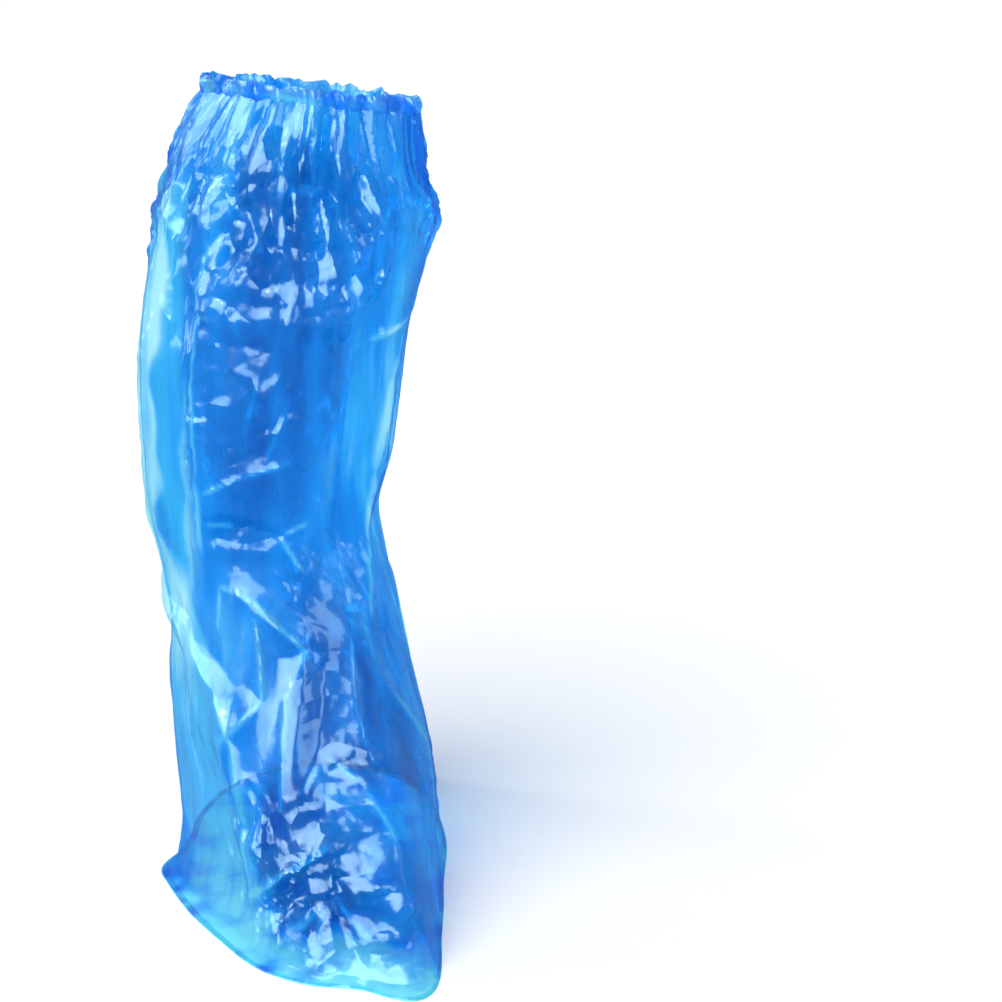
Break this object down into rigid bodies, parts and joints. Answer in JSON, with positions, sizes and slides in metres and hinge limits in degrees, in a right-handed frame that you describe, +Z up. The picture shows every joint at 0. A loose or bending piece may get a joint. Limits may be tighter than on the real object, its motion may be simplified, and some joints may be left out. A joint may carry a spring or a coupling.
{
  "type": "shoe cover",
  "caption": "Knee-high disposable shoe cover of thin blue film, in its worn shape, open at a gathered elastic cuff and welded flat round the sole.",
  "frame": {"origin": "middle of the gathered cuff, where the wearer's calf holds the cover up; the sole's underside lies 0.465 m below it", "axes": "+Z up along the leg, -Y towards the toe, +X to the right seen from the front"},
  "size_m": [0.178, 0.3216, 0.4843],
  "materials": {
    "blue_film": "thin blown polyethylene film, glossy and crumpled",
    "gathered_film": "film folded over an elastic band and gathered",
    "welded_film": "two films welded together, a little deeper in colour"
  },
  "bodies": {
    "root": {"film_bag": "blue_film", "gathered_hem": "gathered_film", "weld_flange": "welded_film"}
  },
  "joints": []
}
